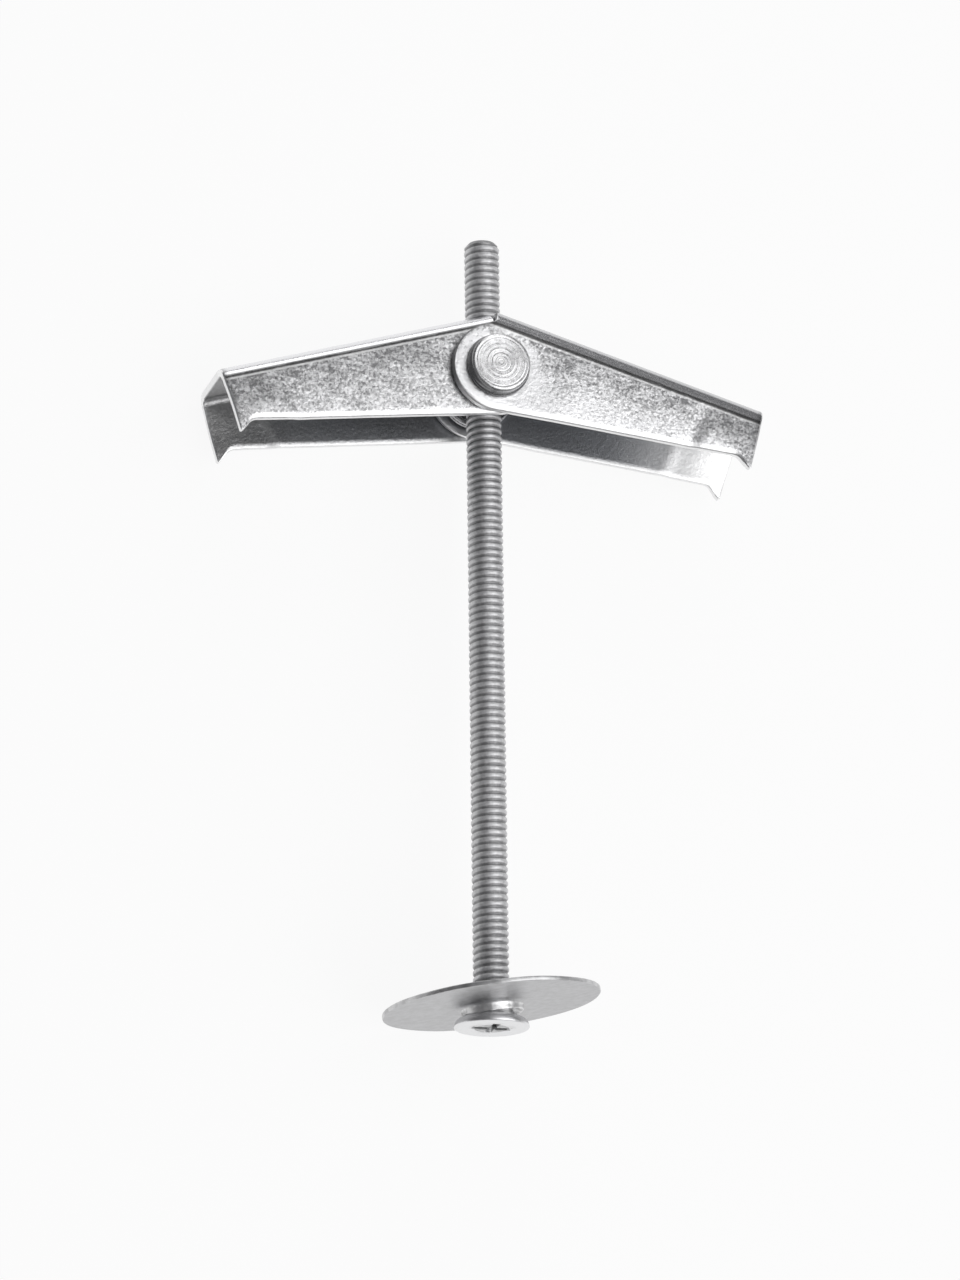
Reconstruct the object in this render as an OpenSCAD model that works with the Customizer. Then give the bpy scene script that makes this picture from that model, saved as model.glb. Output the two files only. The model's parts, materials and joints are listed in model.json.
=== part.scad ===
// Spring toggle anchor for hollow walls: a machine screw with a washer, a trunnion nut, two folded
// sheet-steel wings and the torsion spring that holds them open.
//
// Every piece is drawn in the upright frame: the screw lies along Y with its tip at +Y, the wings
// open along X, and the trunnion that they fold about lies along Z, centred on the origin.
// lay_down() then tips the anchor on to a surface, +Z up, where it lies on the rim of its washer
// and on one end of its trunnion, with the origin under the middle of its length.

/* [Screw] */
// Major diameter of the thread
screw_d = 4; // [3.6:0.1:4.2]
// Length of the screw, head included
screw_l = 90.5; // [80:0.5:110]
// How far the tip stands past the middle of the trunnion
tip_reach = 16.6; // [10:0.2:20]
// Length of the chamfer at the tip
tip_chamfer = 0.5; // [0.2:0.1:0.8]
// Diameter of the face of the countersunk head
head_d = 8.2; // [7.6:0.1:9]
// Height of the straight rim round the face of the head
head_rim = 0.15; // [0.1:0.05:0.3]
// Span of the cross recess in the face
recess_span = 4.4; // [3.6:0.1:5]
// Width of each slot of the recess
recess_slot = 0.9; // [0.7:0.05:1.1]
// Depth of the recess
recess_depth = 1.8; // [1.2:0.1:2]

/* [Washer] */
// Outer diameter of the washer
washer_d = 23.8; // [20:0.1:30]
// Thickness of its sheet
washer_t = 0.5; // [0.4:0.1:0.8]
// Chamfer on the edges of its rim
washer_edge = 0.1; // [0.05:0.05:0.15]
// Radial clearance of its hole round the screw
washer_gap = 0.5; // [0.4:0.05:0.6]
// Length of the drawn collar that takes the head
collar_l = 0.9; // [0.6:0.1:1]
// Width of the collar round the hole, countersunk for the cone of the head
collar_t = 0.9; // [0.6:0.05:1]
// Fillet between the collar and the disc
collar_fillet = 0.4; // [0.2:0.1:0.5]
// Lean of the washer, which sits loosely on the head, in degrees
washer_lean = 7; // [0:0.5:8]
// Clearance between the collar and the cone of the head
seat_gap = 0.04; // [0.02:0.01:0.1]

/* [Trunnion nut] */
// Diameter of the trunnion
trunnion_d = 6.8; // [6.6:0.1:7.2]
// Length of the trunnion
trunnion_l = 14.8; // [14:0.1:16]
// Radius of its rounded end edges
trunnion_round = 0.35; // [0.2:0.05:0.5]
// Clearance of the threaded cross hole round the screw
thread_gap = 0.05; // [0.03:0.01:0.1]
// Chamfer at the mouths of the cross hole
mouth_chamfer = 0.3; // [0.1:0.1:0.5]
// Height of the staked lip that keeps each outer ear on, above the edge of the ear's hole
lip_h = 0.12; // [0.08:0.02:0.2]
// Width of the staked lip
lip_w = 0.4; // [0.3:0.05:0.6]

/* [Wings] */
// Thickness of the wings' sheet
sheet_t = 0.8; // [0.6:0.05:0.9]
// Outer width of the channel
wing_w = 10.6; // [10.2:0.1:11.4]
// Length from the pivot to the end of the wing, along its web
wing_l = 30.7; // [26:0.1:32]
// Outer radius of the bends between web and flanges
bend_r = 1.7; // [1.4:0.1:1.8]
// Distance from the pivot to the outer face of the web
web_out = 6.7; // [6.5:0.05:6.9]
// Radius of the ears round the pivot
ear_r = 5.1; // [4.8:0.05:5.3]
// Slope of the web below square to the screw, with the wing open, in degrees
web_droop = 16.5; // [14:0.5:19]
// Slope of the flanges' free edges, with the wing open, in degrees
edge_droop = 6.4; // [3:0.1:8]
// Running clearance of the ears' holes round the trunnion
pivot_gap = 0.08; // [0.04:0.01:0.1]
// Gap between the nested ears of the two wings
nest_gap = 0.3; // [0.25:0.05:0.4]
// Gap between the two webs, which meet when the wings are open
stop_gap = 0.2; // [0.1:0.05:0.4]
// Clearance of the notch in each web round the screw
notch_gap = 0.3; // [0.2:0.1:0.6]
// Height of the claws that bite into the wall
claw_h = 1.4; // [1:0.1:2.4]
// Length along the web over which a claw stands out from the free edge
claw_run = 1.5; // [1:0.1:2.5]
// Width of the claws at their tips
claw_tip = 0.3; // [0.2:0.1:0.6]

/* [Spring] */
// Diameter of the wire
wire_d = 0.55; // [0.4:0.05:0.55]
// Mean radius of the spring's coils
coil_r = 4.1; // [4:0.05:4.4]
// Number of whole turns in each coil
coil_turns = 2; // [1:1:2]
// Length of the legs under the webs
leg_l = 9; // [6:0.5:12]
// Inner radius of the corners where the legs turn into the bridge
bridge_r = 0.7; // [0.5:0.1:1]
// Clearance of the wire at the screw, the ears and the webs
wire_gap = 0.06; // [0.04:0.01:0.1]

/* [Hidden] */
$fn = 96;
eps = 0.01;                                 // overlap of shapes that are joined
over = 1;                                   // how far a cutting shape runs past what it cuts
far = 60;                                   // longer than any cut has to be

screw_r = screw_d / 2;
head_r = head_d / 2;
head_y = tip_reach - screw_l;               // face of the head
cone_y = head_y + head_rim;                 // foot of its 45 degree cone
recess_core = 0.75 * recess_slot;           // radius at the floor of the recess

hole_r = screw_r + washer_gap;              // washer's hole
collar_r = hole_r + collar_t;
mouth_land = 0.15;                          // flat ring round the mouth of the collar
seat_r = collar_r - mouth_land;             // edge of its 45 degree countersink
punch_edge = 0.28 * washer_t;               // chamfer where the punched edge is drawn in
collar_end = washer_t / 2 + collar_l;       // from the middle of the sheet to the collar's end
// The leaning collar touches the cone with the lowest point of its mouth.
seat_reach = seat_r * cos(washer_lean) - collar_end * sin(washer_lean);
seat_drop = collar_end * cos(washer_lean) + seat_r * sin(washer_lean);
washer_y = cone_y + (head_r - seat_reach) + seat_drop + seat_gap;

trunnion_r = trunnion_d / 2;
bore_r = screw_r + thread_gap;
pivot_r = trunnion_r + pivot_gap;           // holes in the ears

wing_shift = (sheet_t + nest_gap) / 2;      // each wing stands this far to one side, so that they nest
ear_out = wing_w / 2 + wing_shift;          // outer face of the outer ear
web_in = web_out - sheet_t;
taper = web_droop - edge_droop;             // between web and free edges
web_start = (stop_gap / 2 - web_in * sin(web_droop)) / cos(web_droop);
notch_r = screw_r + notch_gap;
notch_end = (notch_r - web_in * sin(web_droop)) / cos(web_droop);
claw_root = wing_l - claw_tip - claw_run;
claw_foot = free_edge(wing_l) - claw_h;     // tips of the claws, below the line of the free edge

wire_r = wire_d / 2;
wire_sides = 8;
coil_steps = 24;                            // rings of the wire for each turn
coil_in = screw_r + thread_gap + wire_gap + wire_r;                 // first turn, beside the screw
coil_out = wing_w / 2 - wing_shift - sheet_t - wire_gap - wire_r;   // last turn, beside the inner ear
leg_top = web_in - wire_gap - wire_r;       // the bridge lies under the flat of the right web
free_top = web_in + sheet_t - bend_r;       // the free legs' ends lie in the bends of the left web
leg_angle = leg_slope(leg_top);
free_angle = leg_slope(free_top);
corner_r = bridge_r + wire_r;

// Rest: the edge of the washer's rim and the rounded edge of the trunnion's end are on the surface.
rim_y = washer_y + washer_t / 2 - washer_edge;
end_y = trunnion_r - trunnion_round - rim_y;
end_z = washer_d / 2 - (trunnion_l / 2 - trunnion_round);
rest_tilt = atan2(end_z, end_y) - asin(trunnion_round / norm([end_y, end_z]));
rest_z = washer_d / 2 * cos(rest_tilt) + rim_y * sin(rest_tilt);
tip_y = tip_reach * cos(rest_tilt) + (screw_r - tip_chamfer) * sin(rest_tilt);
foot_y = head_y * cos(rest_tilt) - head_r * sin(rest_tilt);

module lay_down() {
    translate([0, -(tip_y + foot_y) / 2, rest_z]) rotate([-rest_tilt, 0, 0]) children();
}

// Turns a profile, drawn as [radius, distance along Y], about the screw's axis
module turned_on_screw() {
    rotate([90, 0, 0]) mirror([0, 0, 1]) rotate_extrude() children();
}

// ---- screw ----

module screw_profile() {
    polygon([
        [0, head_y], [head_r, head_y], [head_r, cone_y], [screw_r, cone_y + head_r - screw_r],
        [screw_r, tip_reach - tip_chamfer], [screw_r - tip_chamfer, tip_reach], [0, tip_reach]
    ]);
}

module cross_recess() {
    translate([0, head_y, 0]) rotate([-90, 0, 0]) intersection() {
        translate([0, 0, -eps])
            cylinder(h = recess_depth + eps, r1 = recess_span / 2, r2 = recess_core);
        union() for (turn = [0, 90]) rotate(turn)
            cube([recess_span + over, recess_slot, 2 * recess_depth + over], center = true);
    }
}

module screw() {
    color("silver") lay_down() difference() {
        turned_on_screw() screw_profile();
        cross_recess();
    }
}

// ---- washer ----

// Sheet, drawn collar and countersunk mouth, as [radius, distance along Y] from the sheet's middle
module washer_profile() {
    top = washer_t / 2;
    rim = washer_d / 2;
    difference() {
        union() {
            polygon([
                [hole_r, -top], [rim - washer_edge, -top], [rim, washer_edge - top],
                [rim, top - washer_edge], [rim - washer_edge, top], [hole_r, top]
            ]);
            translate([hole_r, -collar_end]) square([collar_t, collar_end]);
            translate([collar_r - eps, -top - collar_fillet])
                square([collar_fillet + eps, collar_fillet + eps]);
        }
        translate([collar_r + collar_fillet, -top - collar_fillet]) circle(collar_fillet);
        polygon([
            [hole_r - over, -collar_end - over], [seat_r + over, -collar_end - over],
            [seat_r, -collar_end], [hole_r - over, -collar_end + seat_r - hole_r + over]
        ]);
        // the punched edge on the wall's side is drawn in with the collar
        polygon([
            [hole_r - over, top - punch_edge - over], [hole_r, top - punch_edge],
            [hole_r + punch_edge, top], [hole_r + punch_edge + over, top + over],
            [hole_r - over, top + over]
        ]);
    }
}

module washer() {
    color("gainsboro") lay_down()
        translate([0, washer_y, 0]) rotate(washer_lean) turned_on_screw() washer_profile();
}

// ---- trunnion nut ----

// Section of a staked lip, about the middle of its width
module lip_profile() {
    lip_r = pivot_r + lip_h;
    side = lip_w / 2;
    polygon([
        [trunnion_r / 2, -side], [pivot_r, -side], [lip_r, lip_h - side],
        [lip_r, side - lip_h], [pivot_r, side], [trunnion_r / 2, side]
    ]);
}

module trunnion_profile() {
    half = trunnion_l / 2;
    lip_z = ear_out + pivot_gap + lip_w / 2;
    difference() {
        union() {
            translate([0, -half]) square([trunnion_r, trunnion_l]);
            for (side = [-1, 1]) translate([0, side * lip_z]) lip_profile();
        }
        for (side = [-1, 1]) translate([trunnion_r, side * half]) difference() {
            square(2 * trunnion_round, center = true);
            translate([-trunnion_round, -side * trunnion_round]) circle(trunnion_round);
        }
    }
}

module toggle_nut() {
    mouth_r = bore_r + mouth_chamfer;
    color("lightgray") lay_down() difference() {
        rotate_extrude() trunnion_profile();
        rotate([90, 0, 0]) cylinder(h = far, r = bore_r, center = true);
        for (side = [-1, 1]) rotate([90 * side, 0, 0]) translate([0, 0, trunnion_r - mouth_r])
            cylinder(h = 2 * mouth_r, r1 = 0, r2 = 2 * mouth_r);
    }
}

// ---- wings ----

// Height of the flanges' free edge, a tangent of the ear, at a distance along the web
function free_edge(x) = x * tan(taper) - ear_r / cos(taper);

// Side of a wing, with its web along +X: tapering flange with its claw
module flange_outline() {
    polygon([
        [web_start - over, web_out + over], [wing_l, web_out + over], [wing_l, claw_foot],
        [wing_l - claw_tip, claw_foot], [claw_root, free_edge(claw_root)],
        ear_r * [sin(taper), -cos(taper)], [web_start - over, 0]
    ]);
}

// Round end of the flange about the pivot. It stops short of the bend.
module ear_outline() {
    intersection() {
        circle(ear_r);
        union() {
            translate([-far, -far]) square([far + web_start, 2 * far]);
            translate([-far, -far]) square([2 * far, far + web_out - bend_r]);
        }
    }
}

// Round-cornered tunnel along +X, open below: the envelope of a folded channel
module tunnel(width, top, corner, from, to) {
    side = width / 2;
    translate([from, 0, 0]) rotate([90, 0, 90]) linear_extrude(to - from) {
        translate([-far, -side]) square([far + top - corner, width]);
        translate([-far, corner - side]) square([far + top, width - 2 * corner]);
        for (y = [corner - side, side - corner]) translate([top - corner, y]) circle(corner);
    }
}

module wing() {
    beyond = wing_l + over;
    before = -ear_r - over;
    inside = wing_w - 2 * sheet_t;
    rotate(-web_droop) difference() {
        translate([0, 0, wing_shift]) difference() {
            union() {
                intersection() {
                    linear_extrude(wing_w + over, center = true) flange_outline();
                    tunnel(wing_w, web_out, bend_r, web_start, beyond);
                }
                linear_extrude(wing_w, center = true) ear_outline();
            }
            tunnel(inside, web_in, bend_r - sheet_t, web_start - over, beyond);
            translate([before, -far / 2, -inside / 2]) cube([web_start - before, far, inside]);
            cylinder(h = far, r = pivot_r, center = true);
        }
        // U-shaped notch in the end of the web, which straddles the screw
        rotate([-90, 0, 0]) {
            translate([notch_end - notch_r, 0, 0]) cylinder(h = far, r = notch_r);
            translate([before, -notch_r, 0]) cube([notch_end - notch_r - before, 2 * notch_r, far]);
        }
    }
}

module wing_right() {
    color("whitesmoke") lay_down() wing();
}

// The same stamping, turned half a turn about the screw
module wing_left() {
    color("whitesmoke") lay_down() rotate([0, 180, 0]) wing();
}

// ---- spring ----

// Slope of a leg that leaves the coil at its top and ends this far from the pivot, towards the web
function leg_slope(top) = web_droop + atan2(coil_r, leg_l) - asin(top / norm([coil_r, leg_l]));

function polar(r, a, z) = [r * cos(a), r * sin(a), z];

// Centre line of the half of the spring on the +Z side: free leg under the left wing, coil, leg
// under the right wing and half of the bridge
function half_spring() =
    let (
        start = 90 + free_angle,            // the left leg leaves the coil here
        sweep = -360 * coil_turns - free_angle - leg_angle,
        steps = round(-sweep / 360 * coil_steps),
        out = [cos(leg_angle), -sin(leg_angle), 0],
        foot = polar(coil_r, 90 - leg_angle, coil_in)
    )
    concat(
        [polar(coil_r, start, coil_out) - leg_l * [cos(free_angle), sin(free_angle), 0]],
        [for (i = [0:steps])
            polar(coil_r, start + sweep * i / steps, coil_out + (coil_in - coil_out) * i / steps)],
        [for (a = [0:22.5:90])
            foot + out * (leg_l - corner_r + corner_r * sin(a)) - [0, 0, corner_r * (1 - cos(a))]]
    );

function mirrored(points) = [for (i = [len(points) - 1:-1:0])
    [points[i].x, points[i].y, -points[i].z]];

function unit(v) = v / norm(v);

// Rings of the wire. The reference direction is never along the wire: it is half way between the
// trunnion's axis and the normal of the bridge's plane.
function rings(path, r) =
    let (aside = unit([sin(leg_angle), cos(leg_angle), 1]), last = len(path) - 1)
    [for (i = [0:last])
        let (
            along = unit(path[min(i + 1, last)] - path[max(i - 1, 0)]),
            a = unit(cross(along, aside)),
            b = cross(along, a)
        )
        for (k = [0:wire_sides - 1])
            path[i] + r * (cos(360 * k / wire_sides) * a + sin(360 * k / wire_sides) * b)];

module wire(path, r) {
    n = wire_sides;
    last = len(path) - 1;
    polyhedron(
        points = rings(path, r),
        faces = concat(
            [[for (k = [0:n - 1]) k]],
            [for (i = [0:last - 1], k = [0:n - 1]) let (m = (k + 1) % n)
                [i * n + k, (i + 1) * n + k, (i + 1) * n + m, i * n + m]],
            [[for (k = [n - 1:-1:0]) last * n + k]]
        )
    );
}

module spring() {
    half = half_spring();
    color("darkgray") lay_down() wire(concat(half, mirrored(half)), wire_r);
}

screw();
washer();
toggle_nut();
wing_left();
wing_right();
spring();
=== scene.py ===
import json
import math

import bmesh
import bpy
from mathutils import Matrix, Vector, geometry, noise


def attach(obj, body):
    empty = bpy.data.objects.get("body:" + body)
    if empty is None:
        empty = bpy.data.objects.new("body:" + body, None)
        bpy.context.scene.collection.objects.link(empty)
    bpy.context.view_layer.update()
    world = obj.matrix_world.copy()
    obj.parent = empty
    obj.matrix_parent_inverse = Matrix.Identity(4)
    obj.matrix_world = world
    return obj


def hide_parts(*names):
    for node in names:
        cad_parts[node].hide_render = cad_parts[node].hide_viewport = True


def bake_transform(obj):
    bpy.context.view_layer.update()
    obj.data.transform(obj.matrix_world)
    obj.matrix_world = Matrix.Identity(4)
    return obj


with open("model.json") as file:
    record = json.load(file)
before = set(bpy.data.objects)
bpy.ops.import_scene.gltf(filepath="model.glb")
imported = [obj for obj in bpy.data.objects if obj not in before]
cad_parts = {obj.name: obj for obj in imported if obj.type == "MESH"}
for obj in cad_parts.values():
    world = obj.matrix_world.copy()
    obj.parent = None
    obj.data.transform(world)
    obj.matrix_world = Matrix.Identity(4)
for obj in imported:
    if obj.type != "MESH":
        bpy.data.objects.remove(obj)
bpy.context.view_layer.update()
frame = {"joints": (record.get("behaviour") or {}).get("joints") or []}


# ---- The anchor as it lies, and the camera ----
# The anchor lies on the rim of its washer and on one end of its trunnion. Its pieces are drawn
# upright, in millimetres: the screw stands along Y with its tip up, the trunnion runs along Z and
# they cross at the origin. The camera looks down on it from the side of the screw's head.

MILLIMETRE = 0.001

joints = {joint["name"]: joint for joint in frame["joints"]}
pivot = Vector(joints["wing_left_fold"]["pos_m"])
tipwards = Vector(joints["screw_travel"]["axis"])
trunnion_way = Vector(joints["wing_left_fold"]["axis"])
laid = Matrix((tipwards.cross(trunnion_way), tipwards, trunnion_way)).transposed()
lay_down = Matrix.Translation(pivot) @ laid.to_4x4() @ Matrix.Scale(MILLIMETRE, 4)

CAMERA_DISTANCE = 600
CAMERA_TURN = math.radians(16.16)
CAMERA_RISE = math.radians(17.14)
CAMERA_ROLL = math.radians(-0.73)
# Where the pivot stands from the middle of the view, in the plane through the pivot
PIVOT_RIGHT = 0.37
PIVOT_UP = 28.7

backwards = Vector((-math.sin(CAMERA_TURN) * math.cos(CAMERA_RISE), -math.sin(CAMERA_RISE),
                    math.cos(CAMERA_TURN) * math.cos(CAMERA_RISE)))
level = Vector((0, 1, 0)).cross(backwards).normalized()
upwards = backwards.cross(level)
view_right = math.cos(CAMERA_ROLL) * level + math.sin(CAMERA_ROLL) * upwards
view_up = math.cos(CAMERA_ROLL) * upwards - math.sin(CAMERA_ROLL) * level

camera = bpy.data.objects.new("studio_camera", bpy.data.cameras.new("studio_camera"))
bpy.context.scene.collection.objects.link(camera)
camera.data.sensor_width = 36
camera.data.lens = 150.8
camera.data.clip_start = 0.01
stand = CAMERA_DISTANCE * backwards - PIVOT_RIGHT * view_right - PIVOT_UP * view_up
camera.matrix_world = (Matrix.Translation(lay_down @ stand)
                       @ (laid @ Matrix((view_right, view_up, backwards)).transposed()).to_4x4())
bpy.context.scene.camera = camera


# ---- Machine screw ----
# A long 4 mm machine screw of bright zinc-plated steel, with a rolled right-hand thread up to its
# countersunk head. The head is upset and its cross recess is punched.

class Level:
    """A socket whose value varies over a surface. Sums on it add Math nodes."""

    def __init__(self, finish, socket):
        self.finish = finish
        self.socket = socket

    def maths(self, operation, *values, clamp=False):
        settings = {"operation": operation, "use_clamp": clamp}
        return self.finish.node("Math", settings, dict(enumerate(values)))

    def __add__(self, other):
        return self.maths("ADD", self, other)

    def __radd__(self, other):
        return self.maths("ADD", other, self)

    def __sub__(self, other):
        return self.maths("SUBTRACT", self, other)

    def __rsub__(self, other):
        return self.maths("SUBTRACT", other, self)

    def __mul__(self, other):
        return self.maths("MULTIPLY", self, other)

    def __rmul__(self, other):
        return self.maths("MULTIPLY", other, self)

    def clamped(self):
        return self.maths("ADD", self, 0, clamp=True)

    def between(self, low, high):
        """0 below low, 1 above high and a smooth rise from one to the other."""
        settings = {"interpolation_type": "SMOOTHSTEP"}
        return self.finish.node("MapRange", settings, {"Value": self, 1: low, 2: high})


class Finish:
    """The finish of one kind of metal: a material and the nodes that mix it."""

    def __init__(self, name):
        self.material = bpy.data.materials.new(name)
        self.material.use_nodes = True
        self.tree = self.material.node_tree
        self.tree.nodes.clear()

    def node(self, kind, settings=None, sockets=None, out=0):
        made = self.tree.nodes.new("ShaderNode" + kind)
        for key, value in (settings or {}).items():
            setattr(made, key, value)
        for key, value in (sockets or {}).items():
            if isinstance(value, Level):
                self.tree.links.new(value.socket, made.inputs[key])
            else:
                made.inputs[key].default_value = value
        return Level(self, made.outputs[out])

    def place(self):
        """The place on the upright anchor, in millimetres."""
        turn = laid.transposed()
        return self.node("Mapping", {"vector_type": "POINT"}, {
            "Vector": self.node("TexCoord", out=3),
            "Location": -(turn @ pivot) / MILLIMETRE,
            "Rotation": turn.to_euler(),
            "Scale": (1 / MILLIMETRE,) * 3})

    def from_axis(self, where, across):
        """Distance from an axis through the origin. across is 1 in the two directions beside it."""
        beside = self.node("VectorMath", {"operation": "MULTIPLY"}, {0: where, 1: across})
        return self.node("VectorMath", {"operation": "LENGTH"}, {0: beside}, out=1)

    def mark(self, name):
        """A mark that the mesh carries at its points."""
        return self.node("Attribute", {"attribute_name": name}, out=2)

    def cloud(self, where, scale, detail=2.0, rough=0.5):
        """Soft noise from 0 to 1."""
        return self.node("TexNoise", {"noise_dimensions": "3D"}, {
            "Vector": where, "Scale": scale, "Detail": detail, "Roughness": rough})

    def shade(self, dark, light, share):
        """A colour between two, each of which is three numbers or varies by itself."""
        low, high = (end if isinstance(end, Level) else (*end, 1) for end in (dark, light))
        return self.node("Mix", {"data_type": "RGBA"}, {0: share, 6: low, 7: high}, out=2)

    def metal(self, colour, roughness, height=None, depth=0.02):
        """Closes the material as bare metal. The height is in units of depth, in millimetres."""
        sockets = {"Base Color": colour, "Roughness": roughness, "Metallic": 1.0}
        if height is not None:
            sockets["Normal"] = self.node("Bump", None, {
                "Height": height, "Distance": depth * MILLIMETRE, "Strength": 1.0})
        surface = self.node("BsdfPrincipled", None, sockets)
        self.node_out(surface)
        return self.material

    def node_out(self, surface):
        end = self.tree.nodes.new("ShaderNodeOutputMaterial")
        self.tree.links.new(surface.socket, end.inputs["Surface"])


def cast(name, mesh, finish, slot, *nodes):
    """Turns an upright mesh in millimetres into a laid object with its finish."""
    mesh.transform(lay_down)
    thing = bpy.data.objects.new(name, bpy.data.meshes.new(name))
    mesh.to_mesh(thing.data)
    mesh.free()
    thing.data.materials.append(finish)
    thing.data.shade_smooth()
    bpy.context.scene.collection.objects.link(thing)
    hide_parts(*nodes)
    return thing


def skin(mesh, rows, closed_across=False, closed_along=False):
    """Faces between rows of points, each of the same count."""
    grid = [[mesh.verts.new(point) for point in row] for row in rows]
    count = len(grid[0])
    for i in range(len(grid) - (0 if closed_along else 1)):
        low, high = grid[i], grid[(i + 1) % len(grid)]
        for j in range(count - (0 if closed_across else 1)):
            k = (j + 1) % count
            mesh.faces.new((low[j], high[j], high[k], low[k]))
    return grid


def turned(mesh, profile, steps=192, wobble=None):
    """Turns a profile of [radius, height] about Y. A radius of 0 closes it."""
    rings = []
    for i in range(steps):
        angle = math.tau * i / steps
        row = []
        for radius, height in profile:
            r, y = (radius, height) if wobble is None else wobble(radius, height, angle)
            row.append((r * math.sin(angle), y, r * math.cos(angle)))
        rings.append(row)
    skin(mesh, rings, closed_along=True)
    bmesh.ops.remove_doubles(mesh, verts=mesh.verts, dist=1e-6)


def cut_away(mesh, cutter):
    """Takes the cutter's solid out of the mesh."""
    whole, tool = (bpy.data.meshes.new(label) for label in ("whole", "tool"))
    mesh.to_mesh(whole)
    cutter.to_mesh(tool)
    cutter.free()
    blank = bpy.data.objects.new("blank", whole)
    punch = bpy.data.objects.new("punch", tool)
    bpy.context.scene.collection.objects.link(blank)
    bpy.context.scene.collection.objects.link(punch)
    bite = blank.modifiers.new("bite", "BOOLEAN")
    bite.operation = "DIFFERENCE"
    bite.solver = "EXACT"
    bite.object = punch
    bpy.context.view_layer.update()
    left = bpy.data.meshes.new_from_object(blank.evaluated_get(bpy.context.evaluated_depsgraph_get()))
    bpy.data.objects.remove(blank)
    bpy.data.objects.remove(punch)
    mesh.clear()
    mesh.from_mesh(left)


SCREW_R = 2.0
TIP = 16.6
HEAD_FACE = TIP - 90.5
HEAD_R = 4.1
HEAD_RIM = 0.15
PITCH = 0.8
THREAD_STEPS = 40

# Radius of the thread over one pitch, from root to root: narrow grooves and broad round crests
THREAD = [(0.0, 1.79), (0.06, 1.795), (0.12, 1.825), (0.18, 1.885), (0.24, 1.94), (0.30, 1.972),
          (0.38, 1.986), (0.47, 1.986), (0.55, 1.972), (0.61, 1.94), (0.67, 1.885), (0.73, 1.825)]


def thread_radius(r, y, angle):
    """The rolled thread is a little uneven, and runs out into the tip and the head's neck."""
    spot = Vector((1.6 * math.sin(angle), 0.9 * y, 1.6 * math.cos(angle)))
    if r > 1.9:
        r -= 0.03 * max(0, noise.noise(spot))
    r = min(r, SCREW_R - 0.5 + 0.9 * (TIP - y))
    return max(r, min(SCREW_R, HEAD_FACE + HEAD_RIM + HEAD_R - y))


screw = bmesh.new()
first_turn = math.floor((HEAD_FACE + 1) / PITCH)
last_turn = math.ceil(TIP / PITCH) + 1
rows = []
for i in range((last_turn - first_turn) * THREAD_STEPS):
    angle = math.tau * (i % THREAD_STEPS) / THREAD_STEPS
    start = PITCH * (first_turn + i / THREAD_STEPS)
    row = []
    for y, r in THREAD + [(PITCH, THREAD[0][1])]:
        r = thread_radius(r, start + y, angle)
        row.append((r * math.sin(angle), start + y, r * math.cos(angle)))
    rows.append(row)
skin(screw, rows)
bmesh.ops.remove_doubles(screw, verts=screw.verts, dist=1e-5)
for height, outer in ((TIP, 1), (HEAD_FACE + 2.05, -1)):
    parts = screw.verts[:] + screw.edges[:] + screw.faces[:]
    edge = bmesh.ops.bisect_plane(screw, geom=parts, plane_co=(0, height, 0), plane_no=(0, outer, 0),
                                  clear_outer=True)
    rim = [part for part in edge["geom_cut"] if isinstance(part, bmesh.types.BMEdge)]
    if outer > 0:
        bmesh.ops.holes_fill(screw, edges=rim, sides=0)

# The head from its neck to its face, as [radius, height above the face]
HEAD = [(0, 2.6), (1.6, 2.6), (1.8, 2.45), (2.0, 2.25), (2.6, 1.65), (3.0, 1.27), (3.2, 1.12), (3.4, 1.08),
        (3.62, 0.99), (3.82, 0.83), (3.97, 0.62), (4.06, 0.4), (4.1, 0.22), (4.1, 0.13), (4.06, 0.06),
        (3.98, 0.02), (3.85, 0), (3.4, 0), (2.8, 0), (0, 0)]
# One blade of the punch for the cross recess, as [height, reach, half width]
BLADE = [(-0.3, 2.3, 0.48), (0, 2.2, 0.46), (0.15, 2.08, 0.42), (1.8, 0.68, 0.36), (1.9, 0.3, 0.3)]
head = bmesh.new()
turned(head, [(r, HEAD_FACE + y) for r, y in HEAD], 128)
bmesh.ops.recalc_face_normals(head, faces=head.faces)
for turn in (False, True):
    punch = bmesh.new()
    rows = []
    for y, reach, half in BLADE:
        corners = [(reach, -half), (reach, half), (-reach, half), (-reach, -half)]
        rows.append([(x, HEAD_FACE + y, z) if turn else (z, HEAD_FACE + y, x) for x, z in corners])
    grid = skin(punch, rows, closed_across=True)
    punch.faces.new(grid[0])
    punch.faces.new(grid[-1])
    bmesh.ops.recalc_face_normals(punch, faces=punch.faces)
    cut_away(head, punch)
head_mesh = bpy.data.meshes.new("head")
head.to_mesh(head_mesh)
head.free()
screw.from_mesh(head_mesh)
bmesh.ops.recalc_face_normals(screw, faces=screw.faces)

bright_zinc = Finish("bright_zinc")
where = bright_zinc.place()
grain = bright_zinc.cloud(where, 2.2, 4.0, 0.6)
radius = bright_zinc.from_axis(where, (1, 0, 1))
height = bright_zinc.node("SeparateXYZ", None, {0: where}, out=1)
on_head = 1 - height.between(HEAD_FACE + 1.9, HEAD_FACE + 2.3)
# painted shade: the thread's roots are coloured darker than its crests, standing for the shade in the
# grooves
crest = radius.between(1.80, 1.96)
tone = 0.75 * crest + 0.35 * on_head + 0.4 * (grain.between(0.25, 0.75) - 0.5)
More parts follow.
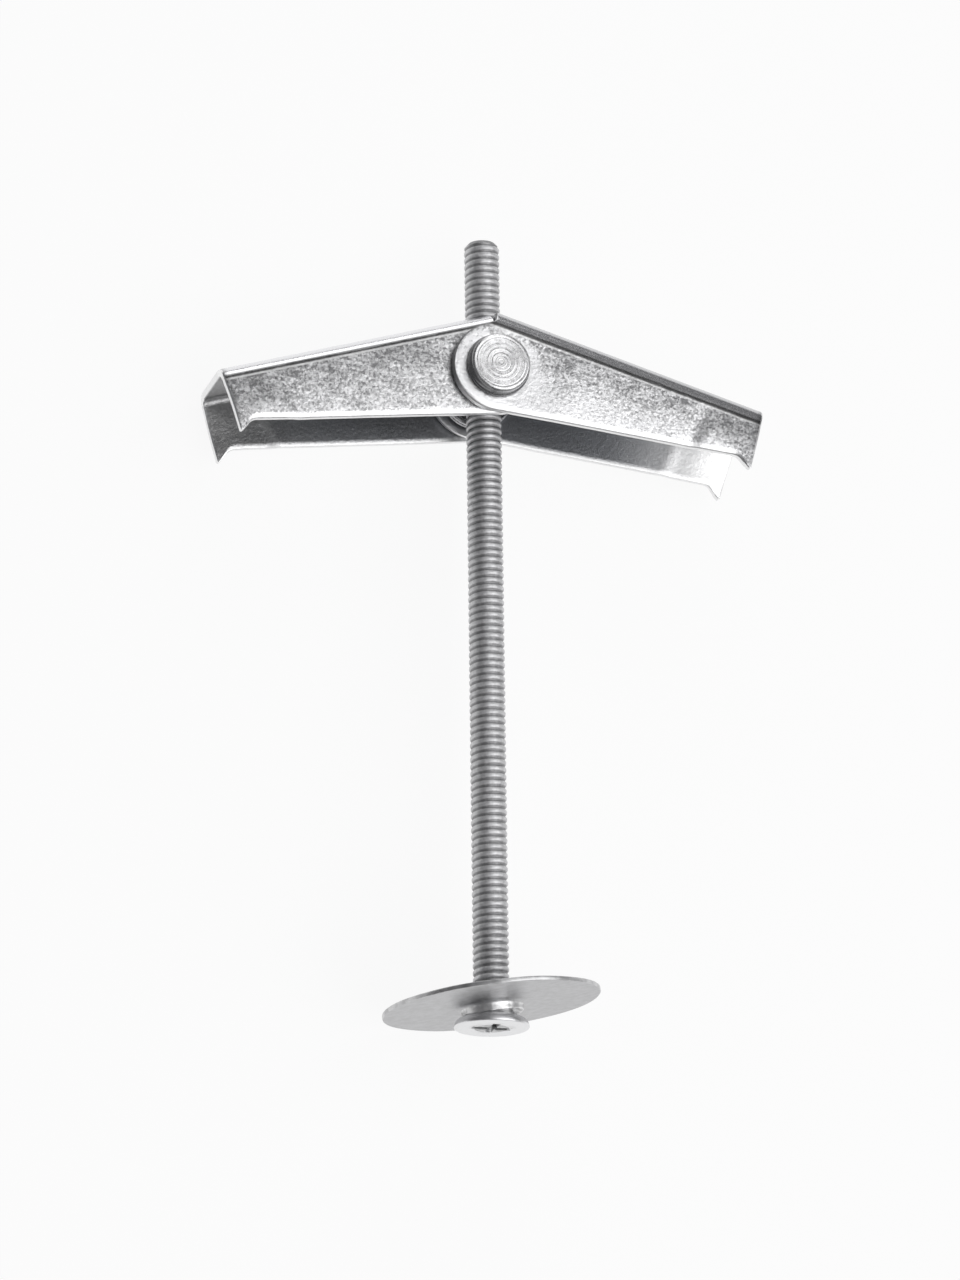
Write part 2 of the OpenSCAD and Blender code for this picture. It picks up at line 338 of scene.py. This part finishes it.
# painted shade: the inside of the cross recess is coloured dark
recess_shade_mask = height.between(HEAD_FACE + 0.06, HEAD_FACE + 0.5) * (1 - radius.between(0.9, 1.7))
plain = bright_zinc.shade((0.33, 0.33, 0.335), (0.82, 0.82, 0.83), tone.clamped())
recess_shaded_zinc = bright_zinc.shade(plain, (0.12, 0.12, 0.12), recess_shade_mask * on_head)
bright_zinc.metal(recess_shaded_zinc, 0.5 - 0.22 * on_head + 0.1 * grain, bright_zinc.cloud(where, 6.0, 2.0), 0.02)
threaded_screw = cast("threaded_screw", screw, bright_zinc.material, "screw_zinc", "screw")
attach(threaded_screw, "screw")


# ---- Washer ----
# A wide thin washer, blanked from zinc-plated sheet. Its hole is drawn out into a short rough
# collar, countersunk for the cone of the head, on which it leans.

WASHER_LEAN = math.radians(7)
WASHER_R = 11.9
SEAT_R = 3.25
SEAT_Y = 1.15
SEAT_GAP = 0.04
# Height of the middle of its sheet, where the leaning mouth of the collar meets the head's cone
SEAT_REACH = SEAT_R * math.cos(WASHER_LEAN) - SEAT_Y * math.sin(WASHER_LEAN)
SEAT_DROP = SEAT_Y * math.cos(WASHER_LEAN) + SEAT_R * math.sin(WASHER_LEAN)
WASHER_Y = HEAD_FACE + HEAD_RIM + HEAD_R - SEAT_REACH + SEAT_DROP + SEAT_GAP


def rough_collar(radius, height, angle):
    """The drawn edge of the collar is torn a little, and the disc isn't quite flat."""
    if height < -0.6:
        torn = noise.noise(Vector((4 * math.sin(angle), 4 * math.cos(angle), 2 * radius)))
        hang = 0.25 * max(0, math.cos(angle + 0.25)) ** 2 * min(1, (-0.6 - height) / 0.4)
        return radius - 0.05 * abs(torn), height + 0.1 * abs(torn) - hang
    if radius > 5:
        spot = Vector((0.16 * radius * math.sin(angle), 0.16 * radius * math.cos(angle), 2))
        height += 0.06 * noise.noise(spot) * min(1, (radius - 5) / 3)
    return radius, height


# Section of the washer, as [radius, height from the middle of its sheet]
collar_side = [(2.52, 0.0), (2.52, -0.36), (2.9, -0.75), (3.22, -1.07), (3.28, -1.13), (3.34, -1.14),
               (3.38, -1.1), (3.4, -1.0), (3.4, -0.8), (3.43, -0.62), (3.5, -0.46), (3.62, -0.34),
               (3.78, -0.27), (3.95, -0.25)]
head_side = [(r, -0.25) for r in (4.6, 5.4, 6.3, 7.3, 8.3, 9.3, 10.2, 11.0, 11.4, 11.65)]
edge = [(WASHER_R - 0.12, -0.25), (WASHER_R - 0.05, -0.235), (WASHER_R - 0.01, -0.19),
        (WASHER_R, -0.12), (WASHER_R, 0.12), (WASHER_R - 0.02, 0.19), (WASHER_R - 0.08, 0.24),
        (WASHER_R - 0.2, 0.25)]
wall_side = [(r, 0.25) for r in (11.1, 10.1, 9.1, 8.1, 7.1, 6.1, 5.1, 4.2, 3.4, 2.9)]
drawn_in = [(2.7, 0.235), (2.57, 0.16), (2.52, 0.0)]
disc = bmesh.new()
turned(disc, collar_side + head_side + edge + wall_side + drawn_in, 256, rough_collar)
# the collar and the rim are marked for a brighter finish: partly burnishing, partly a painted highlight
drawn = disc.verts.layers.float.new("drawn")
for point in disc.verts:
    reach = math.hypot(point.co.x, point.co.z)
    if reach < 3.5 and point.co.y < -0.5:
        point[drawn] = 1
    elif reach > WASHER_R - 0.1:
        point[drawn] = 0.4
disc.transform(Matrix.Translation((0, WASHER_Y, 0)) @ Matrix.Rotation(WASHER_LEAN, 4, "Z"))
bmesh.ops.recalc_face_normals(disc, faces=disc.faces)

satin_zinc = Finish("satin_zinc")
where = satin_zinc.place()
grain = satin_zinc.cloud(where, 1.1, 5.0, 0.6)
sheet_zinc = satin_zinc.shade((0.47, 0.47, 0.475), (0.57, 0.57, 0.58), grain.between(0.3, 0.7))
# brighter in patches on the collar and the rim: partly burnishing, partly a painted highlight
rub_and_sheen_patches = satin_zinc.cloud(where, 0.8, 2.0).between(0.35, 0.6)
burnish_and_painted_sheen = satin_zinc.shade((0.5, 0.5, 0.5), (0.88, 0.88, 0.88), rub_and_sheen_patches)
pressed = satin_zinc.shade(sheet_zinc, burnish_and_painted_sheen, satin_zinc.mark("drawn"))
satin_zinc.metal(pressed, 0.36 + 0.12 * grain, satin_zinc.cloud(where, 4.0, 2.0), 0.01)
drawn_washer = cast("drawn_washer", disc, satin_zinc.material, "washer_zinc", "washer")
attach(drawn_washer, "washer")


# ---- Trunnion nut ----
# A short round bar of zinc-plated steel, turned to length, with a threaded cross hole for the
# screw. The wings fold about it, and a staked lip beside each outer ear keeps them on.

TRUNNION_R = 3.4
TRUNNION_HALF = 7.4
BORE_R = 2.05


def turning_marks(r):
    """The end face is dished a little, with the rings that the tool left."""
    rings = 0.004 * math.cos(math.tau * r / 0.5) + 0.003 * math.cos(math.tau * r / 0.21 + 1)
    rings += 0.0015 * math.cos(math.tau * r / 0.09)
    return TRUNNION_HALF - 0.03 - 0.05 * (1 - r / 3.0) + rings


# Half of the section, from the middle: the staked lip, the rounded edge and the end face
half_section = [(TRUNNION_R, 5.85), (3.48, 5.93), (3.58, 6.0), (3.6, 6.12), (3.58, 6.24), (3.48, 6.31),
                (TRUNNION_R, 6.36), (TRUNNION_R, 7.0), (3.37, 7.16), (3.3, 7.28), (3.18, 7.37)]
half_section += [(3.06 - 0.03 * k, turning_marks(3.06 - 0.03 * k)) for k in range(102)]
half_section += [(0, turning_marks(0))]
nut = bmesh.new()
turned(nut, [(r, -y) for r, y in reversed(half_section)] + half_section, 128)
bore = bmesh.new()
turned(bore, [(0, -5), (3.75, -5), (BORE_R, -3.15), (BORE_R, 3.15), (3.75, 5), (0, 5)], 64)
nut.transform(Matrix.Rotation(math.pi / 2, 4, "X"))
bmesh.ops.recalc_face_normals(nut, faces=nut.faces)
bmesh.ops.recalc_face_normals(bore, faces=bore.faces)
cut_away(nut, bore)

turned_zinc = Finish("turned_zinc")
where = turned_zinc.place()
grain = turned_zinc.cloud(where, 1.8, 4.0, 0.6)
radius = turned_zinc.from_axis(where, (1, 1, 0))
marks = turned_zinc.node("TexNoise", {"noise_dimensions": "1D"}, {
    "W": radius, "Scale": 5.0, "Detail": 3.0})
faced = turned_zinc.shade((0.55, 0.55, 0.555), (0.85, 0.85, 0.86), grain.between(0.25, 0.75))
# painted shade: the trunnion's round side is coloured darker than its end face
side_painted_shade = turned_zinc.shade(faced, (0.26, 0.26, 0.265), radius.between(3.2, 3.36))
turned_zinc.metal(side_painted_shade, 0.22 + 0.1 * grain, marks, 0.05)
trunnion_nut = cast("trunnion_nut", nut, turned_zinc.material, "nut_zinc", "toggle_nut")
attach(trunnion_nut, "toggle_nut")


# ---- Wings ----
# Two like stampings of zinc-plated sheet steel. Each is blanked, pierced for the trunnion and
# folded into a channel that tapers away from its round ears, with a claw at each end corner.

SHEET = 0.8
WING_W = 10.6
WING_L = 30.7
BEND_R = 1.7
WEB_OUT = 6.7
EAR_R = 5.1
EAR_HOLE_R = 3.48
DROOP = math.radians(16.5)
TAPER = DROOP - math.radians(6.4)
NEST_GAP = 0.3
STOP_GAP = 0.2
NOTCH_R = 2.3
CLAW_H = 1.4
CLAW_RUN = 1.5
CLAW_TIP = 0.3

WING_SHIFT = (SHEET + NEST_GAP) / 2
WEB_RISE = (WEB_OUT - SHEET) * math.sin(DROOP)
WEB_START = (STOP_GAP / 2 - WEB_RISE) / math.cos(DROOP)
NOTCH_END = (NOTCH_R - WEB_RISE) / math.cos(DROOP)


def free_edge(x):
    """Height of the flange's free edge, a tangent of the ear."""
    return x * math.tan(TAPER) - EAR_R / math.cos(TAPER)


CLAW_ROOT = WING_L - CLAW_TIP - CLAW_RUN
CLAW_FOOT = free_edge(WING_L) - CLAW_H

FLAT_HALF = WING_W / 2 - BEND_R
ARC = BEND_R * math.pi / 2
BEND_END = FLAT_HALF + ARC
BEND_Y = WEB_OUT - BEND_R


def across(y):
    """Distance across the flat blank, from its middle, of a height on the folded flange."""
    return BEND_END + BEND_Y - y


def ease(x):
    """0 below 0, 1 above 1 and a smooth rise between them."""
    x = min(1, max(0, x))
    return x * x * (3 - 2 * x)


def folded(s, t, h):
    """Folds a point of the flat blank: s along it, t across it, h above its outer face."""
    side = 1 if t > 0 else -1
    q = abs(t)
    if q <= FLAT_HALF:
        z, y = q, WEB_OUT + h
    elif q < BEND_END:
        a = (q - FLAT_HALF) / BEND_R
        z = FLAT_HALF + (BEND_R + h) * math.sin(a)
        y = BEND_Y + (BEND_R + h) * math.cos(a)
    else:
        down = q - BEND_END
        z = WING_W / 2 + h
        y = BEND_Y - down
        # the ends of the flanges are spread a little past a shallow slanting crease
        past = s - 23.6 + 0.12 * (down - 4)
        z += (0.14 * ease(past / 1.2) + 0.03 * max(0, past)) * ease(down / 4)
        z -= 0.1 * math.exp(-(past / 0.75) ** 2) * ease(down / 2.5)
        z += 0.12 * ease((s - WING_L + 1.3) / 0.8) * ease(down / 1.5)
        # the pressing bows the flanges out a little from the bend, clear of the ears
        z += 0.16 * (1 - math.exp(-down / 2.2)) * ease((s - 3) / 6)
    # the sheet isn't quite flat
    z += 0.02 * noise.noise(Vector((s * 0.35, t * 0.35, 1))) * ease((q - 2) / 4)
    y += 0.02 * noise.noise(Vector((s * 0.3, t * 0.5, 7))) * ease((5 - q) / 3)
    return Vector((s, y, side * z + WING_SHIFT))


def arc(x, y, r, first, last, steps):
    """Points of an arc, its angles in degrees."""
    angles = [math.radians(first + (last - first) * i / steps) for i in range(steps + 1)]
    return [(x + r * math.cos(a), y + r * math.sin(a)) for a in angles]


def half_outline(sign):
    """One half of the blank's outline, from the notch round the ear to the end: (s, t, rim)."""
    middle = -WING_SHIFT
    points = []
    notch_s = NOTCH_END - NOTCH_R
    for degrees in range(0, 84, 6):
        a = math.radians(degrees)
        points.append((notch_s + NOTCH_R * math.cos(a), middle + sign * NOTCH_R * math.sin(a), 0.12))
    shoulder = middle + sign * (math.sqrt(NOTCH_R ** 2 - (WEB_START - notch_s) ** 2) + 0.08)
    stop = sign * (BEND_END - 0.25)
    points += [(WEB_START + 0.06, shoulder - sign * 0.08, 0.1)]
    points += [(WEB_START, shoulder + (stop - shoulder) * i / 14, 0.1) for i in range(15)]
    points += [(WEB_START - 0.07, sign * (BEND_END - 0.07), 0.1),
               (WEB_START - 0.25, sign * BEND_END, 0.1)]
    ear = arc(0, 0, EAR_R, 118, 270 + math.degrees(TAPER), 60)
    points += [(x, sign * across(y), 0.22 + 0.43 * ease((i - 32) / 24))
               for i, (x, y) in enumerate(ear)]
    # the straight free edge, the soft corner at the claw's root and the claw
    start = ear[-1][0]
    soft = 0.5
    run = [start + (CLAW_ROOT - soft - start) * i / 40 for i in range(1, 41)]
    points += [(x, sign * across(free_edge(x)), 0.65) for x in run]
    fall = Vector((CLAW_RUN, CLAW_FOOT - free_edge(CLAW_ROOT))).normalized()
    before = Vector((CLAW_ROOT - soft, free_edge(CLAW_ROOT - soft)))
    root = Vector((CLAW_ROOT, free_edge(CLAW_ROOT)))
    after = root + fall * soft
    for i in range(1, 7):
        u = i / 6
        corner = (1 - u) ** 2 * before + 2 * u * (1 - u) * root + u ** 2 * after
        points.append((corner.x, sign * across(corner.y), 0.65 - 0.35 * u))
    tip = Vector((WING_L - CLAW_TIP, CLAW_FOOT))
    for i in range(1, 6):
        spot = after.lerp(tip, i / 6)
        points.append((spot.x, sign * across(spot.y), 0.3 - 0.034 * i))
    points += [(WING_L - CLAW_TIP + 0.03, sign * across(CLAW_FOOT + 0.02), 0.09),
               (WING_L - CLAW_TIP / 2, sign * across(CLAW_FOOT - 0.02), 0.09),
               (WING_L - 0.05, sign * across(CLAW_FOOT + 0.03), 0.09)]
    foot = across(CLAW_FOOT + 0.12)
    points += [(WING_L, sign * foot * (1 - i / 20), min(0.28, 0.08 + 0.05 * i)) for i in range(20)]
    return points


def inset(loop, inwards=1):
    """The loop moved in by its own rim at each point."""
    moved = []
    count = len(loop)
    for i, (s, t, rim) in enumerate(loop):
        before, after = loop[i - 1], loop[(i + 1) % count]
        a = Vector((s - before[0], t - before[1])).normalized()
        b = Vector((after[0] - s, after[1] - t)).normalized()
        n = Vector((-a.y - b.y, a.x + b.x))
        n.normalize()
        n *= inwards / max(0.5, abs(n.dot(Vector((-a.y, a.x)))))
        moved.append((s + n.x * rim, t + n.y * rim))
    return moved


def inside(point, loop):
    """Whether a point is within a loop."""
    s, t = point
    crossed = False
    for i in range(len(loop)):
        (s0, t0), (s1, t1) = loop[i - 1][:2], loop[i][:2]
        if (t0 > t) != (t1 > t) and s < s0 + (t - t0) * (s1 - s0) / (t1 - t0):
            crossed = not crossed
    return crossed


def on_sheet(point, outline, *holes):
    """Whether a point is on the blank, within its outline and outside its holes."""
    return inside(point, outline) and not any(inside(point, hole) for hole in holes)


def from_edge(point, loop):
    """Distance of a point from the nearest side of a loop."""
    nearest = math.inf
    for a, b in zip(loop, loop[1:] + loop[:1]):
        foot, share = geometry.intersect_point_line(point, a, b)
        ends = [foot.to_2d()] if 0 <= share <= 1 else [Vector(a), Vector(b)]
        nearest = min([nearest] + [(Vector(point) - end).length for end in ends])
    return nearest


def edge_wear_and_shade(s, rim):
    """1 on an edge that is abraded bright and carries a painted highlight, -1 on one with a painted
    shadow, 0 on a plain one.
    """
    if s > 6:
        return 1
    if rim < 0.2:
        return 0
    return max(-1, min(1, 4 * (rim - 0.4)))


def flat_sheet(insets):
    """The flat blank within its rounded edges, as points and triangles. The loops' points come first."""
    points = []
    edges = []
    for loop in insets:
        first = len(points)
        points += loop
        edges += [(first + i, first + (i + 1) % len(loop)) for i in range(len(loop))]
    lines = [FLAT_HALF * i / 5 for i in range(-5, 6)]
    lines += [sign * (FLAT_HALF + ARC * i / 9) for sign in (-1, 1) for i in range(1, 10)]
    lines += [sign * (BEND_END + 0.62 * i) for sign in (-1, 1) for i in range(1, 20)]
    for s in (-5.5 + 0.6 * i for i in range(62)):
        for t in lines:
            spot = (s, t)
            if on_sheet(spot, *insets) and all(from_edge(spot, loop) > 0.16 for loop in insets):
                points.append(spot)
    places = [Vector(point) for point in points]
    flat, _, triangles, *_ = geometry.delaunay_2d_cdt(places, edges, [], 0, 1e-5)
    middles = [sum((flat[i] for i in face), Vector((0, 0))) / 3 for face in triangles]
    return flat, [face for face, middle in zip(triangles, middles) if on_sheet(middle, *insets)]


def rim_row(wing, s, t, rim, moved):
    """The points across one place of a rounded edge, between its outer and its inner face."""
    ms, mt = moved
    dive = min(0.75 * rim, 0.3)
    row = []
    for degrees in (22, 45, 68, 90):
        out = math.sin(math.radians(degrees))
        drop = 1 - math.cos(math.radians(degrees))
        row.append(folded(ms + (s - ms) * out, mt + (t - mt) * out, -dive * drop))
    row.append(folded(s, t, 0.08 - SHEET))
    near = 0.08 / rim if rim > 0.08 else 0.9
    for share, h in ((0.3, 0.025), (0.99, 0)):
        row.append(folded(s + (ms - s) * near * share, t + (mt - t) * near * share, h - SHEET))
    return [wing.verts.new(point) for point in row]


def stamping():
    """The folded wing, its web along X and its flanges across Z, as a closed mesh."""
    outline = half_outline(1) + [(WING_L, 0, 0.28)] + half_outline(-1)[:0:-1]
    hole = [(s, t, 0.1) for s, t in arc(0, across(0), EAR_HOLE_R, 0, 354, 59)]
    loops = [outline, hole, [(s, -t, rim) for s, t, rim in hole]]
    for loop in loops:
        if sum(a[0] * b[1] - b[0] * a[1] for a, b in zip(loop, loop[1:] + loop[:1])) < 0:
            loop.reverse()
    insets = [inset(outline)] + [inset(loop, -1) for loop in loops[1:]]
    flat, triangles = flat_sheet(insets)
    wing = bmesh.new()
    # how far each point lies above the lower end of the bend, and whether it is inside or on an edge
    fold_mark = wing.verts.layers.float.new("fold")
    inner_mark = wing.verts.layers.float.new("inner")
    edge_mark = wing.verts.layers.float.new("edge")
    outer = [wing.verts.new(folded(p.x, p.y, 0)) for p in flat]
    inner = [wing.verts.new(folded(p.x, p.y, -SHEET)) for p in flat]
    for p, above, below in zip(flat, outer, inner):
        above[fold_mark] = BEND_END - abs(p.y)
        below[fold_mark] = -9
        below[inner_mark] = 1
    for a, b, c in triangles:
        wing.faces.new((outer[a], outer[b], outer[c]))
        wing.faces.new((inner[c], inner[b], inner[a]))
    place = 0
    for loop, moved in zip(loops, insets):
        rings = []
        for (s, t, rim), inwards in zip(loop, moved):
            row = rim_row(wing, s, t, rim, inwards)
            for point in row:
                point[fold_mark] = BEND_END - abs(t)
                point[edge_mark] = edge_wear_and_shade(s, rim)
            # painted shade: a dark line along the outer face at the end of the wing
            if s > WING_L - 0.2 and loop is outline:
                outer[place][edge_mark] = -0.5
            rings.append([outer[place], *row, inner[place]])
            place += 1
        for i in range(len(rings)):
            low, high = rings[i - 1], rings[i]
            for j in range(len(low) - 1):
                wing.faces.new((low[j], low[j + 1], high[j + 1], high[j]))
    bmesh.ops.recalc_face_normals(wing, faces=wing.faces)
    return wing


def galvanised(name, bend_painted_light, bend_foot, inside_end_light, lower_flange_light):
    """Galvanised sheet: grainy on the flats, smoother over the bend, with painted light and shade on the
    bend, round the hub, on the flanges and inside, and edges abraded bright with a painted highlight, some
    with a painted shadow.
    """
    zinc = Finish(name)
    where = zinc.place()
    grain = zinc.cloud(where, 3.0, 4.0, 0.7)
    spangle = zinc.node("TexVoronoi", {"feature": "F1"}, {
        "Vector": where, "Scale": 4.2, "Randomness": 1.0}, out=1)
    patches = zinc.cloud(where, 0.35, 3.0, 0.55)
    pits = zinc.node("TexVoronoi", {"feature": "F1"}, {
        "Vector": where, "Scale": 2.4, "Randomness": 1.0})
    fold = zinc.mark("fold")
    inner = zinc.mark("inner")
    edge = zinc.mark("edge")
    drift = fold + 0.5 * (patches - 0.5)
    bend = drift.between(bend_foot - 0.1, bend_foot + 0.1) * (1 - drift.between(ARC - 0.2, ARC + 0.3))
    # painted reflection: a dark line along each bend, standing for a dark band that the bend reflects
    dark_reflection_line = fold.between(bend_foot - 0.4, bend_foot - 0.15)
    dark_reflection_line = dark_reflection_line * (1 - fold.between(bend_foot, bend_foot + 0.35))
    # painted highlight: a thin bright line just below the bend, stronger on the lighter bend
    painted_glint = fold.between(bend_foot - 0.6, bend_foot - 0.45)
    painted_glint = painted_glint * (1 - fold.between(bend_foot - 0.35, bend_foot - 0.2))
    from_hub = zinc.from_axis(where, (1, 1, 0))
    # painted light: the flanges are lightened round the hub and the ears
    hub = 1 - from_hub.between(4.5, 5.4)
    # painted light and shade: the flanges are lighter towards their free edge and darker just below the
    # bend, by a different amount on each wing
    below = 1 - drift.between(-8, bend_foot) * (1 - fold.between(ARC - 0.2, ARC + 0.3))
    scuffed = zinc.node("Mapping", {"vector_type": "POINT"}, {
        "Vector": where, "Rotation": (0, 0, math.radians(62)), "Scale": (0.5, 2.6, 0.5)})
    scuffs = zinc.cloud(scuffed, 0.8, 3.0).between(0.4, 0.62) * (1 - below)
    tone = 0.45 * grain.between(0.36, 0.64) + 0.55 * spangle.between(0.2, 0.8)
    tone = tone + 0.25 * patches.between(0.3, 0.7)
    tone = tone + lower_flange_light * below + 0.45 * hub - 0.3 + 0.35 * (scuffs - 0.3 * (1 - below))
    flat = zinc.shade((0.24, 0.24, 0.245), (0.92, 0.92, 0.93), tone.clamped())
    # painted tone over the bend, standing for what the bend reflects: lighter on the left wing, darker on
    # the right
    bend_painted_tone = (bend_painted_light, bend_painted_light, 1.02 * bend_painted_light)
    outside = zinc.shade(flat, bend_painted_tone, bend)
    outside = zinc.shade(outside, (0.95, 0.95, 0.95), bend_painted_light * painted_glint)
    reflection_lined = zinc.shade(outside, (0.08, 0.08, 0.08), 0.9 * dark_reflection_line)
    # painted shade inside the channel, turning to painted light towards the far end, more on the right
    # wing than the left
    inside_painted_shade = zinc.shade((0.42, 0.43, 0.45), (inside_end_light,) * 3, from_hub.between(15, 29))
    inside_shaded = zinc.shade(reflection_lined, inside_painted_shade, 0.85 * inner)
    # edges: bright partly from abrasion, partly a painted highlight; the ears' edges and the end get
    # painted shadow
    worn_and_glinting = zinc.shade(inside_shaded, (0.9, 0.9, 0.9), 0.85 * edge.between(0, 1))
    edge_shaded = zinc.shade(worn_and_glinting, (0.08, 0.08, 0.08), (-0.9 * edge).clamped())
    height = (grain * 0.7 + pits * 0.3) * (1 - 0.8 * bend) * (1 - 0.7 * edge.between(0, 1))
    zinc.metal(edge_shaded, 0.28 + 0.16 * (1 - grain) - 0.1 * bend, height, 0.05)
    return zinc.material


blank = stamping()
# the two wings take lit and shaded copies of one finish: painted bend tone, bend line, inside light and
# lower-flange light differ
for name, body, turned_about, lit_and_shaded_tones in (
        ("right_wing", "wing_right", 0, (0.62, -0.15, 0.95, 0.7)),
        ("left_wing", "wing_left", math.pi, (0.85, 0.4, 0.4, 0.4))):
    wing = blank.copy()
    wing.transform(Matrix.Rotation(turned_about, 4, "Y") @ Matrix.Rotation(-DROOP, 4, "Z"))
    shell = cast(name, wing, galvanised(name + "_zinc", *lit_and_shaded_tones), "wing_zinc", body)
    fair = shell.modifiers.new("even_shading", "WEIGHTED_NORMAL")
    fair.keep_sharp = True
    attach(shell, body)
blank.free()


# ---- Spring ----
# One length of bright drawn spring wire. Its two coils sit on the trunnion at each side of the
# screw, their outer ends lie under the left wing and a bridge joins the legs under the right one.

WIRE_R = 0.275
COIL_R = 4.1
WIRE_GAP = 0.06
COIL_IN = BORE_R + WIRE_GAP + WIRE_R
COIL_OUT = WING_W / 2 - WING_SHIFT - SHEET - WIRE_GAP - WIRE_R
COIL_SPLIT = (COIL_IN + COIL_OUT) / 2
LEG_L = 9.0
CORNER_R = 0.7 + WIRE_R


def leg_slope(rise):
    """Slope of a leg whose end lies that high under a web, as the open wing slopes."""
    return DROOP + math.atan2(COIL_R, LEG_L) - math.asin(rise / math.hypot(COIL_R, LEG_L))


# The bridge lies under the flat of the right web, the free ends lie in the bends of the left one
BRIDGE_SLOPE = leg_slope(WEB_OUT - SHEET - WIRE_GAP - WIRE_R)
FREE_SLOPE = leg_slope(WEB_OUT - BEND_R)


def polar(angle, z):
    """A point of the coil."""
    return Vector((COIL_R * math.cos(angle), COIL_R * math.sin(angle), z))


def tube(path):
    """A round wire along a path."""
    wire = bmesh.new()
    rings = []
    aside = Vector((0, 0.1, 1)).normalized()
    for i, point in enumerate(path):
        way = (path[min(i + 1, len(path) - 1)] - path[max(i - 1, 0)]).normalized()
        aside = (aside - aside.dot(way) * way).normalized()
        other = way.cross(aside)
        rings.append([point + WIRE_R * (math.cos(a) * aside + math.sin(a) * other)
                      for a in (math.tau * k / 14 for k in range(14))])
    grid = skin(wire, rings, closed_across=True)
    wire.faces.new(grid[0])
    wire.faces.new(grid[-1])
    bmesh.ops.recalc_face_normals(wire, faces=wire.faces)
    return wire


spring_wire = Finish("spring_wire")
where = spring_wire.place()
grain = spring_wire.cloud(where, 2.0, 3.0)
drawn_bright = spring_wire.shade((0.5, 0.5, 0.51), (0.72, 0.72, 0.73), grain.between(0.3, 0.7))
spring_wire.metal(drawn_bright, 0.2 + 0.15 * grain)

start = math.pi / 2 + FREE_SLOPE
sweep = -4 * math.pi - FREE_SLOPE - BRIDGE_SLOPE
turns = [(start + sweep * i / 120, COIL_OUT + (COIL_IN - COIL_OUT) * i / 120) for i in range(121)]
left_way = Vector((-math.cos(FREE_SLOPE), -math.sin(FREE_SLOPE), 0))
right_way = Vector((math.cos(BRIDGE_SLOPE), -math.sin(BRIDGE_SLOPE), 0))
free_end = polar(*turns[0]) + LEG_L * left_way
foot = polar(*turns[-1])
left_half = [free_end + 0.02 * left_way] + [free_end.lerp(polar(*turns[0]), i / 6) for i in range(6)]
left_half += [polar(a, z) for a, z in turns if z >= COIL_SPLIT - 1e-6]
right_half = [polar(a, z) for a, z in turns if z <= COIL_SPLIT + 1e-6]
right_half += [foot + right_way * (LEG_L - CORNER_R) * i / 6 for i in range(1, 6)]
for i in range(9):
    a = math.pi / 2 * i / 8
    along = LEG_L - CORNER_R + CORNER_R * math.sin(a)
    right_half.append(foot + right_way * along - Vector((0, 0, CORNER_R * (1 - math.cos(a)))))
bridge = right_half[-1].copy()
bridge.z = 0
right_half += [right_half[-1].lerp(bridge, 0.5), bridge]

for label, path, wing_body, rest_at, full_at in (
        ("free_leg", left_half, "wing_left", COIL_SPLIT, COIL_OUT - WIRE_R),
        ("bridge_leg", right_half, "wing_right", COIL_SPLIT, COIL_IN + WIRE_R)):
    for side, mark in ((1, "near"), (-1, "far")):
        route = [Vector((p.x, p.y, side * p.z)) for p in path]
        leg = cast(mark + "_" + label, tube(route), spring_wire.material, "spring_wire", "spring")
        lay_down @ Vector((0, 0, side * rest_at))
        lay_down @ Vector((0, 0, side * full_at))
        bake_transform(leg)


# ---- Floor and light ----
# A plain white floor, one large soft box low on the right, a strip of light above and weak fill
# light from all around.

floor_mesh = bmesh.new()
bmesh.ops.create_grid(floor_mesh, x_segments=1, y_segments=1, size=3)
floor = bpy.data.objects.new("floor", bpy.data.meshes.new("floor"))
floor_mesh.to_mesh(floor.data)
floor_mesh.free()
bpy.context.scene.collection.objects.link(floor)
paper = Finish("white_paper")
rays = paper.tree.nodes.new("ShaderNodeLightPath")
seen = Level(paper, rays.outputs["Is Camera Ray"])
for name in ("Is Glossy Ray", "Is Transmission Ray"):
    seen = seen.maths("MAXIMUM", seen, Level(paper, rays.outputs[name]))
sheet = paper.node("BsdfDiffuse", None, {"Color": (0.9, 0.9, 0.9, 1)})
glow = paper.node("Emission", None, {"Color": (1, 1, 1, 1), "Strength": 1.0})
paper.node_out(paper.node("MixShader", None, {0: seen * 0.91, 1: sheet, 2: glow}))
floor.data.materials.append(paper.material)

world = bpy.data.worlds.new("studio")
bpy.context.scene.world = world
world.use_nodes = True
world.node_tree.nodes["Background"].inputs["Color"].default_value = (0.14, 0.14, 0.145, 1)
world.node_tree.nodes["Background"].inputs["Strength"].default_value = 1.0


def soft_box(name, way, distance, width, height, watts):
    """A rectangular soft box that faces the pivot from this direction of the upright anchor."""
    lamp = bpy.data.objects.new(name, bpy.data.lights.new(name, "AREA"))
    lamp.data.shape = "RECTANGLE"
    lamp.data.size = width
    lamp.data.size_y = height
    lamp.data.energy = watts
    bpy.context.scene.collection.objects.link(lamp)
    # the box stands upright behind its face: its width runs across the anchor, its height along it
    ahead = Vector(way).normalized()
    across_box = Vector((0, 1, 0)).cross(ahead).normalized()
    up_box = ahead.cross(across_box)
    turned_to = laid @ Matrix((across_box, up_box, ahead)).transposed()
    place = lay_down @ Vector((0, -25, 0)) + laid @ ahead * distance
    lamp.matrix_world = Matrix.Translation(place) @ turned_to.to_4x4()


soft_box("right_box", (0.48, -0.24, 0.85), 0.8, 0.9, 1.2, 6.2)
soft_box("top_box", (0.08, 0.88, 0.46), 0.9, 0.4, 0.45, 1.2)

bpy.context.scene.view_settings.view_transform = "Standard"
